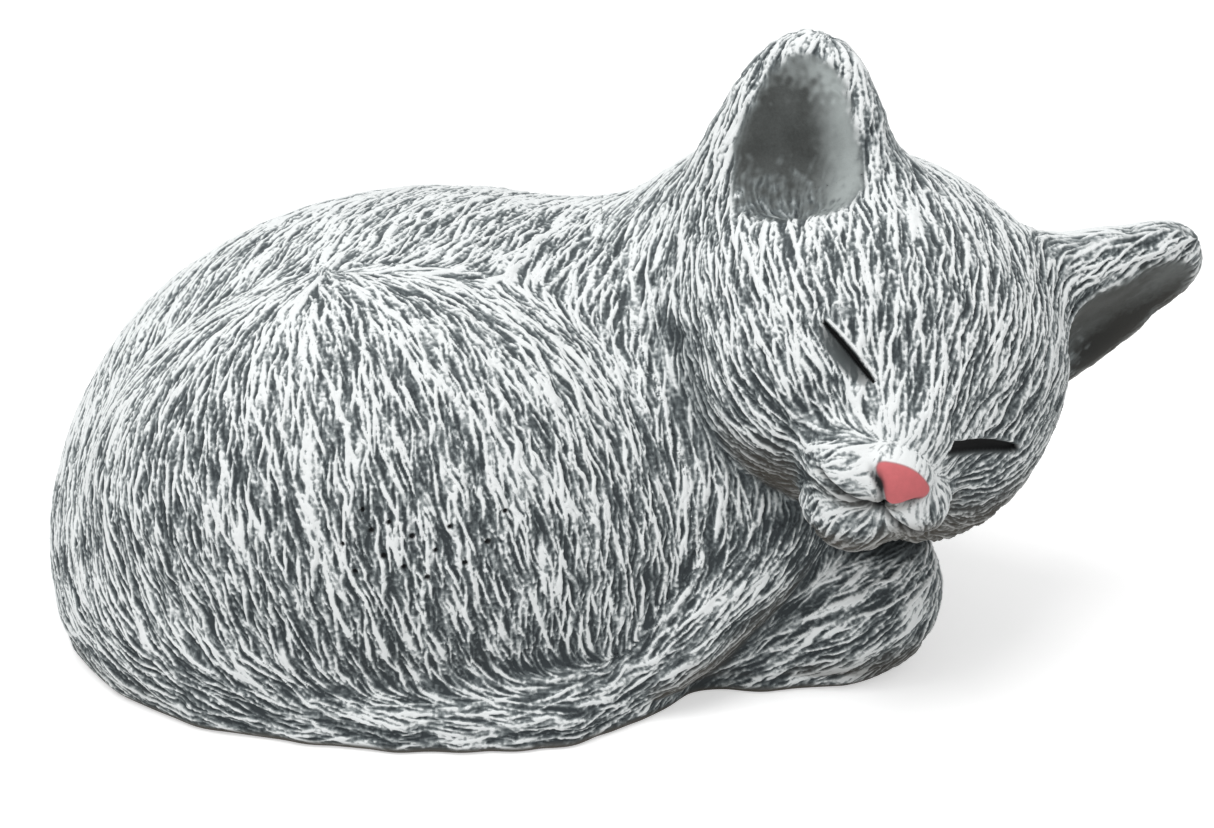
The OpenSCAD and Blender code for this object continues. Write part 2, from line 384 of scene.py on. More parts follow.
def in_threads(function, count):
    """Runs a function of a slice over count items on all threads and joins its results."""
    edges = np.linspace(0, count, THREADS * 8 + 1).astype(int)
    spans = [slice(a, b) for a, b in zip(edges[:-1], edges[1:])]
    with ThreadPoolExecutor(THREADS) as pool:
        return np.concatenate(list(pool.map(function, spans)), -1)


def sample(values, low, cell, p):
    """Trilinear lookup, at rows of points, of a grid of vectors (channels last)."""
    size = values.shape[:3]
    steps = (size[1] * size[2], size[2], 1)
    at = 0
    shares = []
    for k in range(3):
        last = REAL(size[k] - 1.001)       # just short of the last sample, which has no next
        q = np.clip((p[k] - REAL(low[k])) * REAL(1 / cell), 0, last)
        base = q.astype(np.int32)
        shares.append(q - base)
        at = at + base * steps[k]
    flat = values.reshape(-1, values.shape[3])
    total = 0
    for corner in range(8):
        weight = 1
        shift = 0
        for k in range(3):
            up = corner >> k & 1
            weight = weight * (shares[k] if up else 1 - shares[k])
            shift += up * steps[k]
        total = total + flat[at + shift] * weight[:, None]
    return total.T


# ------------ one mesh for all pieces
class Skin:
    """Surface nets over the labelled grid. Each face knows the two labels that it divides,
    and goes round anticlockwise seen from the second one."""

    def __init__(self, grid):
        shape = grid.label.shape
        self.steps = (shape[1] * shape[2], shape[2], 1)
        rings, sides = [], []
        for axis in range(3):
            here = [slice(1, -1)] * 3
            here[axis] = slice(0, -1)
            ahead = [slice(1, -1)] * 3
            ahead[axis] = slice(1, None)
            a, b = grid.label[tuple(here)], grid.label[tuple(ahead)]
            crossing = np.argwhere(a != b)
            sides.append(np.stack([a[tuple(crossing.T)], b[tuple(crossing.T)]], 1))
            crossing += 1
            crossing[:, axis] -= 1
            cells = crossing @ np.array(self.steps)
            u, v = self.steps[(axis + 1) % 3], self.steps[(axis + 2) % 3]
            rings.append(np.stack([cells - u - v, cells - v, cells, cells - u], 1))
        self.sides = np.concatenate(sides)
        cells, loops = np.unique(np.concatenate(rings), return_inverse=True)
        self.loops = loops.reshape(-1)
        self.counts = np.full(len(self.sides), 4)
        self.points = self.place(grid, cells)

    def place(self, grid, cells):
        """Each cell's vertex is the mean of the places where its edges change label."""
        field, label = grid.field.ravel(), grid.label.ravel()
        total = np.zeros((len(cells), 3))
        count = np.zeros(len(cells))
        for axis in range(3):
            u, v = (axis + 1) % 3, (axis + 2) % 3
            for du, dv in ((0, 0), (0, 1), (1, 0), (1, 1)):
                start = cells + du * self.steps[u] + dv * self.steps[v]
                stop = start + self.steps[axis]
                differ = label[start] != label[stop]
                outer = differ & ((label[start] == 0) | (label[stop] == 0))
                fall = np.where(outer, field[start] - field[stop], 1)
                share = np.where(outer, field[start] / fall, 0.5)
                # where a cell meets the skin, the skin's crossings alone place its vertex
                weight = np.where(outer, 1, np.where(differ, 1e-4, 0))
                total[:, axis] += weight * share
                total[:, u] += weight * du
                total[:, v] += weight * dv
                count += weight
        index = np.stack(np.unravel_index(cells, grid.label.shape), 1)
        return (grid.low + (index + total / count[:, None]) * grid.cell).T.astype(REAL)

    def outer(self):
        """Which faces are on the skin."""
        return (self.sides == 0).any(1)

    def nexts(self):
        """For each corner of each face, the vertex of the corner after it."""
        ends = np.cumsum(self.counts)
        after = np.arange(1, len(self.loops) + 1)
        after[ends - 1] = ends - self.counts
        return self.loops[after]

    def skin_vertices(self):
        on_skin = np.zeros(self.points.shape[1], bool)
        on_skin[self.loops[np.repeat(self.outer(), self.counts)]] = True
        return np.flatnonzero(on_skin)

    def refine(self, chosen):
        """Splits the chosen quads in four. Their neighbours get the new corners too."""
        span = self.points.shape[1]
        starts = np.cumsum(self.counts) - self.counts
        quads = self.loops[starts[chosen][:, None] + np.arange(4)]
        after = np.roll(quads, -1, 1)
        keys = np.minimum(quads, after) * span + np.maximum(quads, after)
        edges, which = np.unique(keys, return_inverse=True)
        middles = span + which.reshape(-1, 4)
        centres = span + len(edges) + np.arange(len(quads))
        ends = self.points[:, edges // span] + self.points[:, edges % span]
        centre_points = self.points[:, quads].mean(2)
        small = [np.stack([quads[:, k], middles[:, k], centres, middles[:, k - 1]], 1)
                 for k in range(4)]
        small = np.stack(small, 1).reshape(-1, 4)
        kept = np.repeat(~chosen, self.counts)
        a, b = self.loops[kept], self.nexts()[kept]
        keys = np.minimum(a, b) * span + np.maximum(a, b)
        at = np.minimum(np.searchsorted(edges, keys), len(edges) - 1)
        split = edges[at] == keys
        corners = np.stack([a, np.where(split, span + at, -1)], 1).reshape(-1)
        kept_counts = self.counts[~chosen]
        if len(kept_counts):
            first = np.cumsum(kept_counts) - kept_counts
            kept_counts = kept_counts + np.add.reduceat(split.astype(int), first)
        self.points = np.concatenate([self.points, ends / 2, centre_points], 1).astype(REAL)
        self.loops = np.concatenate([small.reshape(-1), corners[corners >= 0]])
        self.counts = np.concatenate([np.full(len(small), 4), kept_counts])
        self.sides = np.concatenate([np.repeat(self.sides[chosen], 4, 0), self.sides[~chosen]])

    def project(self, rounds=1):
        """Moves the skin's vertices onto the field's zero."""
        where = self.skin_vertices()

        def moved(span):
            p = [row[where[span]] for row in self.points]
            for _ in range(rounds):
                f, n = field_and_normal(p)
                p = [row - f * side for row, side in zip(p, n)]
            return np.stack(p)

        self.points[:, where] = in_threads(moved, len(where))

    def normals(self):
        """Vertex normals of the skin, as one smooth surface."""
        following = self.points[:, self.nexts()]
        own = self.points[:, self.loops]
        outer = np.repeat(self.outer(), self.counts)
        face = np.repeat(np.arange(len(self.counts)), self.counts)
        away = np.where(self.sides[:, 0] == 0, -1.0, 1.0)
        total = np.zeros_like(self.points)
        for k in range(3):
            i, j = (k + 1) % 3, (k + 2) % 3
            turn = own[i] * following[j] - own[j] * following[i]
            area = np.bincount(face, turn, len(self.counts)) * away
            total[k] = np.bincount(self.loops[outer], area[face[outer]], self.points.shape[1])
        return total / np.maximum(np.sqrt((total ** 2).sum(0)), 1e-9)


SLOPE_STEP = REAL(0.25)      # how far off the field is sampled to find its slope
SLOPE_CORNERS = ((1, -1, -1), (-1, -1, 1), (-1, 1, -1), (1, 1, 1))


def field_and_normal(p):
    """The field and its unit gradient at rows of points, from four samples round each."""
    f = 0
    slope = [0, 0, 0]
    for signs in SLOPE_CORNERS:
        q = [row + s * SLOPE_STEP for row, s in zip(p, signs)]
        value = whole(q, parts(q))
        f = f + value
        slope = [total + s * value for total, s in zip(slope, signs)]
    size = np.sqrt(slope[0] ** 2 + slope[1] ** 2 + slope[2] ** 2) + REAL(1e-9)
    return f / REAL(len(SLOPE_CORNERS)), [s / size for s in slope]


# ------------ the way the fur lies
def nearest_tail_step(p):
    """The tail's own direction beside each point."""
    best = np.full(p[0].shape, np.inf, REAL)
    way = [np.zeros_like(best) for _ in range(3)]
    for start, end in zip(TAIL[:-1], TAIL[1:]):
        middle = [(a + b) / 2 for a, b in zip(start, end)]
        away = sum((row - REAL(m)) ** 2 for row, m in zip(p, middle))
        closer = away < best
        best[closer] = away[closer]
        for k in range(3):
            way[k][closer] = end[k] - start[k]
    return way


HEAD_PARTING = (0, -36, -14.5)       # in the head's frame: its fur goes out from here,
HEAD_TURN = 33                       # and at about this distance it turns to the sky
SKY_IN_HEAD = 0.8 * HEAD_AXES[2] + 0.6 * np.array((0, 1, 0))
MUZZLE_PARTING = (0, -35, -9)
SPINE_Y, SPINE_WIDTH = 40, 12        # the back's fur parts along this line
HIP = (HAUNCH[0] - 14, HAUNCH[1] + 6, HAUNCH[2] + HAUNCH_R[2] - 3)     # the haunch's parting
HIP_FACING = (0.407, 0.9135)         # y and z of the way in which the parting faces
SHOULDER_WAY = (-0.17, 0.2, 1)
FOREPAW_WAY = (1, 0, 0.6)


def from_head(local):
    """A direction in the head's frame, turned into the CAD's."""
    return [sum(c * REAL(a) for c, a in zip(local, HEAD_AXES[k])) for k in range(3)]


def head_way(h):
    off = [row - REAL(n) for row, n in zip(h, HEAD_PARTING)]
    far = np.sqrt(sum(o * o for o in off)) + REAL(1e-3)
    lift = np.minimum((far / HEAD_TURN) ** 2, 3)
    return from_head([o / far + lift * REAL(s) for o, s in zip(off, SKY_IN_HEAD)])


def body_way(y, z):
    """Down both flanks and back to the rump; at its foot forwards, along the tail."""
    spread = np.clip((y - SPINE_Y) / SPINE_WIDTH, -1, 1)
    sweep = 1.8 * smooth(32, 6, z) * smooth(20, 0, y)
    fall = -0.6 - 1.2 * np.clip(1 - z / 50, 0, 1) * (1 - sweep / 2)
    return [sweep - 0.6, 1.1 * spread, fall]


def haunch_way(p, normal):
    """Out from the hip where the haunch faces up, else down, and aslant near the tail's root."""
    x, _, z = p
    up = np.clip(HIP_FACING[0] * normal[1] + HIP_FACING[1] * normal[2], 0, 1) ** 3
    slant = 0.2 + 0.9 * smooth(55, 10, z) * smooth(-10, -45, x - HAUNCH[0])
    out = [row - REAL(c) for row, c in zip(p, HIP)]
    reach = np.sqrt(sum(o * o for o in out)) + REAL(1e-3)
    down = (slant, np.zeros_like(x), np.full_like(x, -1))
    return [up * o / reach + (1 - up) * s for o, s in zip(out, down)]


def fur_ways(p, normal):
    """For each form, the direction in which its fur is combed, before it is laid on the skin."""
    def constant(way):
        return [np.full_like(p[0], c) for c in way]

    h = in_head(p)
    ways = {"head": head_way(h), "body": body_way(p[1], p[2]), "haunch": haunch_way(p, normal)}
    ways["muzzle"] = from_head([row - REAL(n) for row, n in zip(h, MUZZLE_PARTING)])
    ways["nose"] = ways["muzzle"]
    for name, ear in EARS.items():
        ways[name] = constant(HEAD_AXES @ ear.axis)
    ways["shoulder"] = constant(SHOULDER_WAY)
    ways["tail"] = nearest_tail_step(p)
    ways["forepaw"] = constant(FOREPAW_WAY)
    return ways


def scaled_to_one(rows):
    size = np.sqrt(sum(c * c for c in rows)) + TINY
    return [c / size for c in rows]


WAY_BLEND = 1.6              # how far the fur of one form carries on into the next


class Flow:
    """A coarse grid of the fur's direction on the skin and of the direction across it."""

    def __init__(self):
        self.grid = Grid(FLOW_CELL, False)
        shape = self.grid.shape
        self.values = np.empty(shape + (6,), REAL)
        with ThreadPoolExecutor(THREADS) as pool:
            list(pool.map(self.fill, range(shape[0])))

    def fill(self, i):
        x = np.full(self.grid.sheet[0].shape, self.grid.low[0] + self.grid.cell * i, REAL)
        p = (x, *self.grid.sheet)
        d = parts(p)
        normal = field_and_normal(p)[1]
        ways = {name: scaled_to_one(way) for name, way in fur_ways(p, normal).items()}
        stack = np.stack([d[name] for name in PIECES])
        nearest = stack.argmin(0)
        lead = [np.choose(nearest, [ways[n][k] for n in PIECES]) for k in range(3)]
        total = [0, 0, 0]
        for index, name in enumerate(PIECES):
            weight = np.exp((stack.min(0) - stack[index]) / WAY_BLEND)
            agree = sum(a * b for a, b in zip(lead, ways[name]))
            weight = weight * np.sign(agree)
            total = [t + weight * w for t, w in zip(total, ways[name])]
        lift = sum(a * b for a, b in zip(total, normal))
        along = scaled_to_one([t - lift * n for t, n in zip(total, normal)])
        turns = ((1, 2), (2, 0), (0, 1))
        across = [normal[i] * along[j] - normal[j] * along[i] for i, j in turns]
        sheet = np.stack(along + across, 1)
        self.values[i] = sheet.reshape(self.grid.shape[1:] + (6,))

    def at(self, p):
        v = sample(self.values, self.grid.low, self.grid.cell, p)
        return v[:3], v[3:]


# ------------ carved fur
NOISE_SIZE = 128
NOISE_SEED = 11
EVENNESS = 0.85              # share of the neighbourhood's mean that is taken away
NOISE_START = 500            # keeps the cells' numbers above zero
NOISE_AXIS_SHIFT = 31.7      # so that the three axes don't meet at a corner of the noise
STROKE_CELL = 0.5            # width of a fur stroke, about half of its spacing
STROKE_REACH = 5.0           # how far a stroke is smeared each way,
STROKE_STEPS = 12            # in this many steps
STROKE_LEAN = 0.18           # sideways lean of the two crossing layers, per length
STROKE_SHIFTS = (0, 40)      # where in the noise each of the two layers starts
STROKE_DEPTH = 0.5
TUFT_CELL = 1.7
TUFT_REACH = 9.0
TUFT_STEPS = 8
TUFT_LEAN = 0.15
TUFT_SHIFTS = (90,)
TUFT_DEPTH = 0.35
WAVE_CELL, WAVE_HEIGHT, WAVE_SHIFT = 3.2, 0.85, 7            # the strokes' slow wander sideways
RIPPLE_CELL, RIPPLE_HEIGHT, RIPPLE_SHIFT = 1.3, 0.25, 57     # and their quick one
SPECK_CELL, SPECK_SHIFT = 0.9, 17        # breaks the strokes' ridges up


def even_noise():
    """Random values less their neighbourhood's mean, so that strokes come evenly spaced."""
    values = np.random.default_rng(NOISE_SEED).random((NOISE_SIZE,) * 3).astype(REAL)
    mean = values
    for axis in range(3):
        mean = (mean + np.roll(mean, 1, axis) + np.roll(mean, -1, axis)) / 3
    return (values - REAL(EVENNESS) * mean).ravel()


NOISE = even_noise()


def noise(p, cell, shift=0):
    """Noise with one random value per cell, smooth between them."""
    base, part = [], []
    for k in range(3):
        q = p[k] * REAL(1 / cell) + REAL(shift + NOISE_AXIS_SHIFT * k + NOISE_START)
        low = np.floor(q)
        t = q - low
        base.append(low.astype(np.int32))
        part.append(t * t * (3 - 2 * t))
    total = 0
    for corner in range(8):
        at, weight = 0, 1
        for k in range(3):
            up = corner >> k & 1
            weight = weight * (part[k] if up else 1 - part[k])
            at = at * NOISE_SIZE + ((base[k] + up) % NOISE_SIZE)
        total = total + NOISE[at] * weight
    return total


def combed(p, flow, cell, reach, steps, lean, shifts):
    """Noise smeared along the fur, in one layer for each shift; every other one leans back."""
    stride = reach / steps
    layers = [0 for _ in shifts]
    total = 0
    wave = WAVE_HEIGHT * noise(p, WAVE_CELL, WAVE_SHIFT)
    ripple = RIPPLE_HEIGHT * noise(p, RIPPLE_CELL, RIPPLE_SHIFT)
    start = p + flow.at(p)[1] * (wave + ripple)
    for way in (1, -1):
        q = start
        for i in range(steps):
            travelled = (i + 0.5) * stride
            weight = 0.5 + 0.5 * math.cos(math.pi * travelled / reach)
            along, across = flow.at(q)
            size = np.sqrt((along ** 2).sum(0)) + TINY
            q = q + along / size * REAL(way * stride)
            for index, shift in enumerate(shifts):
                side = lean * (1 if index % 2 else -1) * way * travelled
                layers[index] = layers[index] + weight * noise(q + across * REAL(side), cell, shift)
            total += weight
    return np.stack(layers) / REAL(total)


# ------------ face
def mark(distance, width):
    """1 on a line or spot and 0 well away from it."""
    return np.exp(-(distance / width) ** 2)


class Marks:
    """What the face's features add up to at rows of points: relief in millimetres along the
    normal, dark for ink and painted shade in recesses, chalk for white paint on an edge,
    and bare where no fur is carved."""

    def __init__(self, like):
        self.relief, self.dark, self.chalk, self.bare = [np.zeros_like(like) for _ in range(4)]


class Eye:
    """A shut eye: a slit along a shallow arc, a crisp lid above it and a smooth lens below."""

    FACING = unit((-0.32, -0.92, 0.21))       # the way in which the face was carved
    NEAR, FAR = 9, 99                         # past NEAR in front or behind, all is FAR away
    SLIT_WIDTH, SLIT_DEPTH = 0.4, 1.1
    LID_HEIGHT, LID_WIDTH, LID_RELIEF = 0.75, 0.45, 0.45
    LENS_RELIEF, LENS_DARK = 0.3, 0.68

    def __init__(self, inner, outer, rise, lens, gap, shine):
        """Its corners in the head's frame, the arc's rise, the lens's height below the slit,
        how far the slit opens in its middle and how white the lid is."""
        inner, outer = np.array(inner), np.array(outer)
        self.middle = (inner + outer) / 2
        self.half = np.linalg.norm(np.cross(outer - inner, self.FACING)) / 2
        self.rise = rise
        self.lens = lens
        self.gap = gap
        self.shine = shine
        out = self.FACING
        along = outer - inner
        along = unit(along - out * (along @ out))
        up = np.cross(out, along)
        self.axes = np.stack([along, out, up * np.sign(up[2])], 1)

    def coordinates(self, h):
        """Share along the slit from -1 to 1, and height above its arc."""
        u, out, v = turned(h, self.middle, self.axes)
        s = u / REAL(self.half)
        v = v - REAL(self.rise) * (1 - np.clip(s, -1.2, 1.2) ** 2)
        return s, np.where(np.abs(out) < self.NEAR, v, self.FAR)

    def draw(self, h, marks):
        s, v = self.coordinates(h)
        taper = np.sqrt(np.clip(1 - s * s, 0, 1))
        wide = self.SLIT_WIDTH + self.gap * taper
        slit = smooth(0.8, 0.3, np.abs(v + 0.5 * wide - 0.2) / wide) * (taper > 0)
        lid = mark(v - self.LID_HEIGHT, self.LID_WIDTH) * smooth(1.15, 0.9, np.abs(s))
        below = v / (0.25 + 0.75 * taper)
        lens = smooth(-self.lens - 0.4, -self.lens + 0.6, below) * (v < 0) * taper
        swell = self.LENS_RELIEF * lens * smooth(-0.5, -1.2, v)
        marks.relief += self.LID_RELIEF * lid + swell - self.SLIT_DEPTH * slit
        # The slit's dark is ink and painted shade in its groove.
        marks.dark += slit + self.LENS_DARK * lens * smooth(-3.6, -0.6, v)
        marks.chalk += self.shine * lid
        marks.bare += lens + slit


EYES = (Eye(inner=(-9.8, -31.8, 0.2), outer=(-21.6, -26.9, 4.2),
            rise=0.35, lens=3.3, gap=0.35, shine=0.9),
        Eye(inner=(4.2, -33.3, -6.0), outer=(22.0, -26.3, 2.1),
            rise=1.5, lens=2.4, gap=1.3, shine=0.3))

# The nose, seen from in front, in the head's frame
NOSE_TOP = -7.4              # height of its upper edge's middle, which falls to both sides
NOSE_TOP_CURVE = 0.06
NOSE_BOTTOM = -14.6          # height of its lowest point
NOSE_BOTTOM_SLOPE = 0.75     # its lower edges rise by this to each side
NOSE_HALF_WIDTH = 5.6
NOSE_ROUNDING = 1.4
FACE_FRONT = (-33, -35)      # the nose's marks come in between these y, going forwards


def nose_outline(h):
    """Signed distance, near enough, to the nose's rounded triangle seen from in front."""
    side = np.abs(h[0])
    top = h[2] - REAL(NOSE_TOP) + REAL(NOSE_TOP_CURVE) * side * side
    bottom = (REAL(NOSE_BOTTOM) + REAL(NOSE_BOTTOM_SLOPE) * side - h[2]) * REAL(0.8)
    corner = join(-top, -bottom, NOSE_ROUNDING)
    return -join(corner, REAL(NOSE_HALF_WIDTH) - side, NOSE_ROUNDING)


def draw_nose(h, marks):
    """Nostrils, the line down to the mouth, the mouth, and the shade on the nose's left edge."""
    x, _, z = h
    side = np.abs(x)
    front = smooth(*FACE_FRONT, h[1])
    edge = nose_outline(h)
    philtrum = mark(x, 0.5) * smooth(-17.4, -16.4, z) * smooth(-14.0, -14.8, z) * front
    lower_edge = NOSE_BOTTOM + NOSE_BOTTOM_SLOPE * side
    nostril = mark(z - lower_edge, 0.9) * mark(side - 3.4, 1.5) * front
    mouth_height = -16.0 - 0.45 * side + 0.035 * side * side
    mouth = mark(z - mouth_height, 0.5) * smooth(13, 11, side) * smooth(-20, -24, h[1])
    rim = mark(edge - 0.6, 0.5) * smooth(-9.5, -12, z) * smooth(1.5, -1.5, x) * front
    marks.relief += 0.3 * smooth(0.4, -0.6, edge) * front
    marks.relief -= 0.8 * philtrum + 0.8 * nostril + 0.8 * mouth + 0.4 * rim
    marks.dark += philtrum + 0.9 * nostril + 0.8 * mouth + 0.7 * rim


def face(h):
    marks = Marks(h[0])
    for eye in EYES:
        eye.draw(h, marks)
    draw_nose(h, marks)
    return marks


# Pinholes left by air in the cast, as x and z on the front of the haunch
PINHOLES = ((-49, 41), (-47, 36), (-44, 43.5), (-42, 39), (-41, 45), (-38.5, 37), (-37, 42.5),
            (-34.5, 35), (-33, 40), (-30.5, 44), (-28, 37.5), (-24, 41), (-45.5, 47), (-21, 46))
PINHOLE_SIZE, PINHOLE_GROWTH = 0.5, 0.06     # radius of the least, and steps to the largest
PINHOLE_FRONT = -30                          # they are only in front of this y
PINHOLE_DEPTH = 0.5


def pinholes(p):
    """1 in the middle of a pinhole, 0 away from them all."""
    total = 0
    for index, (x, z) in enumerate(PINHOLES):
        size = PINHOLE_SIZE + PINHOLE_GROWTH * (index % 4)
        total = total + smooth(size, 0.6 * size, np.hypot(p[0] - x, p[2] - z))
    return total * (p[1] < PINHOLE_FRONT)


# ------------ relief and paint
OPEN_REACHES = (1.2, 2.5, 5.0, 9.0)      # how far out the room round a point is felt


def openness(p, normal, field):
    """How open the skin is to the air: 1 on a bump, towards 0 in a crease."""
    total = 0
    high = field.low + field.cell * (np.array(field.shape) - 1)
    for reach in OPEN_REACHES:
        q = [row + n * REAL(reach) for row, n in zip(p, normal)]
        past = sum((row - np.clip(row, a, b)) ** 2 for row, a, b in zip(q, field.low, high))
        f = sample(field.field[..., None], field.low, field.cell, q)[0] + np.sqrt(past)
        total = total + np.clip(f / reach, 0, 1)
    return total / len(OPEN_REACHES)


def even(layer):
    """The layer with mean 0 and spread 1."""
    return (layer - layer.mean()) / layer.std()


def comb_all(points, flow):
    """Two crossing layers of fine strokes, of which the higher shows, and one of tufts."""
    def fine(span):
        return combed(points[:, span], flow, STROKE_CELL, STROKE_REACH, STROKE_STEPS,
                      STROKE_LEAN, STROKE_SHIFTS)

    def broad(span):
        return combed(points[:, span], flow, TUFT_CELL, TUFT_REACH, TUFT_STEPS,
                      TUFT_LEAN, TUFT_SHIFTS)

    one, other = in_threads(fine, points.shape[1])
    tufts = in_threads(broad, points.shape[1])[0]
    return even(np.maximum(even(one), even(other))), even(tufts)


NOSE_TIP = (0, -40, -12)     # in the head's frame


def stroke_heights(p, d, strokes, tufts, to_nose, calm, valley):
    """How high the fur stands, from 0 in a groove to 1 on a ridge."""
    bold = smooth(3, -2, np.minimum(d["tail"], d["forepaw"]))
    fine = strokes * (0.6 + 0.4 * calm) * (1 - 0.2 * bold)
    ridge = fine + (0.12 + 0.4 * bold) * tufts - 0.05 * bold
    on_ear = smooth(3, 0, np.minimum(d["left_ear"], d["right_ear"]))
    # Beside the tail the fur is carved lower and painted darker: painted shade between the parts.
    ridge = ridge - 0.9 * valley + 0.9 * on_ear
    ridge = ridge + 0.7 * noise(p, SPECK_CELL, SPECK_SHIFT) + 1.5 * mark(to_nose, 10)
    return smooth(-2.0, 2.25, ridge)


def ear_hollows(h, d):
    """Cover of the ears' smooth hollows, and the pale paint in them."""
    hollow = pale = 0
    for name, ear in EARS.items():
        cover, paleness = ear.bare(h, d[name + "_bowl"])
        hollow = hollow + cover
        pale = pale + cover * paleness
    return hollow, pale


def carve(p, strokes, tufts, field):
    """Relief along the normal and the paint's values, at rows of skin points."""
    d = parts(p)
    normal = field_and_normal(p)[1]
    h = in_head(p)
    to_nose = np.sqrt(sum((row - n) ** 2 for row, n in zip(h, NOSE_TIP)))
    calm = smooth(5, 18, to_nose)
    beside = np.minimum(d["haunch"], np.minimum(d["shoulder"], d["forepaw"]))
    valley = mark(d["tail"] - beside - 1, 2.0) * smooth(4, 1.5, d["tail"])
    ridge = stroke_heights(p, d, strokes, tufts, to_nose, calm, valley)

    hollow, pale = ear_hollows(h, d)
    pink = smooth(0.3, -0.2, nose_outline(h)) * smooth(2.5, 1.5, d["nose"])
    marks = face(h)
    holes = pinholes(p)
    base = smooth(2.0, 0.4, p[2])
    fur = (1 - hollow) * (1 - pink) * (1 - np.clip(marks.bare, 0, 1)) * (1 - base)
    carved = STROKE_DEPTH * (ridge - 0.45) * (0.4 + 0.6 * calm)
    carved = carved + TUFT_DEPTH * np.clip(tufts, -1, 1) * 0.5 * calm
    relief = marks.relief - PINHOLE_DEPTH * holes + fur * carved * (1 - 0.4 * valley)
    relief = relief * (1 - base)

    # Upward-facing skin gets more chalk: partly dry brush catching the tops, partly painted light
    # from above.
    ridge = np.maximum(ridge + 0.2 * (normal[2] - 0.25), np.clip(marks.chalk, 0, 1))
    # In the ears' hollows the paleness is painted light, and the darker right ear painted shade.
    ridge = ridge * (1 - hollow) + pale
    # Dark: the face's ink, and painted shade in its slits, nostrils and pinholes.
    dark = np.clip(np.maximum(marks.dark, holes), 0, 1)
    # Brown painted shade on downward-facing skin and in the lowest 2 mm by the floor.
    under = np.maximum(base, 0.8 * smooth(-0.15, -0.7, normal[2]) * (1 - 0.8 * hollow))
    # Openness sets the painted shade in creases and how much chalk holds.
    cavity = openness(p, normal, field)
    return np.stack([relief, ridge, fur, cavity, dark, hollow, pink, under])


# What the paint reads at each vertex: the fur's height, with painted light on upward-facing skin,
# its cover, openness for painted crease shade, ink and painted shade in recesses, the cover of the
# ears' hollows and of the pink, and the cover of brown painted shade underneath and at the foot
VALUES = ("ridge", "fur", "open", "dark", "bowl", "pink", "under")


def carved_skin():
    """The whole figure as one carved mesh, with the paint's values at its vertices."""
    field = Grid(CELL, True)
    skin = Skin(field)
    skin.project(2)
    skin.refine(skin.outer())
    skin.project(1)
    where = skin.skin_vertices()
    flow = Flow()
    points = skin.points[:, where]
    strokes, tufts = comb_all(points, flow)

    def carve_span(span):
        return carve(list(points[:, span]), strokes[span], tufts[span], field)

    found = in_threads(carve_span, len(where))
    normals = skin.normals()[:, where]
    skin.points[:, where] += normals.astype(REAL) * found[0]
    values = np.zeros((len(VALUES), skin.points.shape[1]), REAL)
    values[:, where] = found[1:]
    return skin, values


# ------------ Blender meshes
def build_piece(name, skin, values, normals):
    """The closed piece of the figure that stands for one CAD node."""
    number = PIECES.index(name) + 1
    mine = (skin.sides == number).any(1)
    counts = skin.counts[mine]
    loops = skin.loops[np.repeat(mine, skin.counts)]
    starts = np.cumsum(counts) - counts
    order = np.arange(len(loops))
    turned_over = np.repeat(skin.sides[mine, 1] == number, counts)
    mirror = np.repeat(2 * starts + counts - 1, counts) - order
    loops = loops[np.where(turned_over, mirror, order)]
    used, loops = np.unique(loops, return_inverse=True)
    mesh = bpy.data.meshes.new("fur_" + name)
    mesh.vertices.add(len(used))
    mesh.vertices.foreach_set("co", (skin.points[:, used].T * MM).astype(REAL).ravel())
    mesh.loops.add(len(loops))
    mesh.loops.foreach_set("vertex_index", loops.reshape(-1).astype(np.int32))
    mesh.polygons.add(len(counts))
    mesh.polygons.foreach_set("loop_start", starts.astype(np.int32))
    mesh.update(calc_edges=True)
    for key, row in zip(VALUES, values):
        layer = mesh.attributes.new(key, "FLOAT", "POINT")
        layer.data.foreach_set("value", np.ascontiguousarray(row[used]))
    mesh.polygons.foreach_set("use_smooth", np.ones(len(counts), bool))
    mesh.normals_split_custom_set_from_vertices(normals[:, used].T)
    piece = bpy.data.objects.new("fur_" + name, mesh)
    bpy.context.scene.collection.objects.link(piece)
    return piece


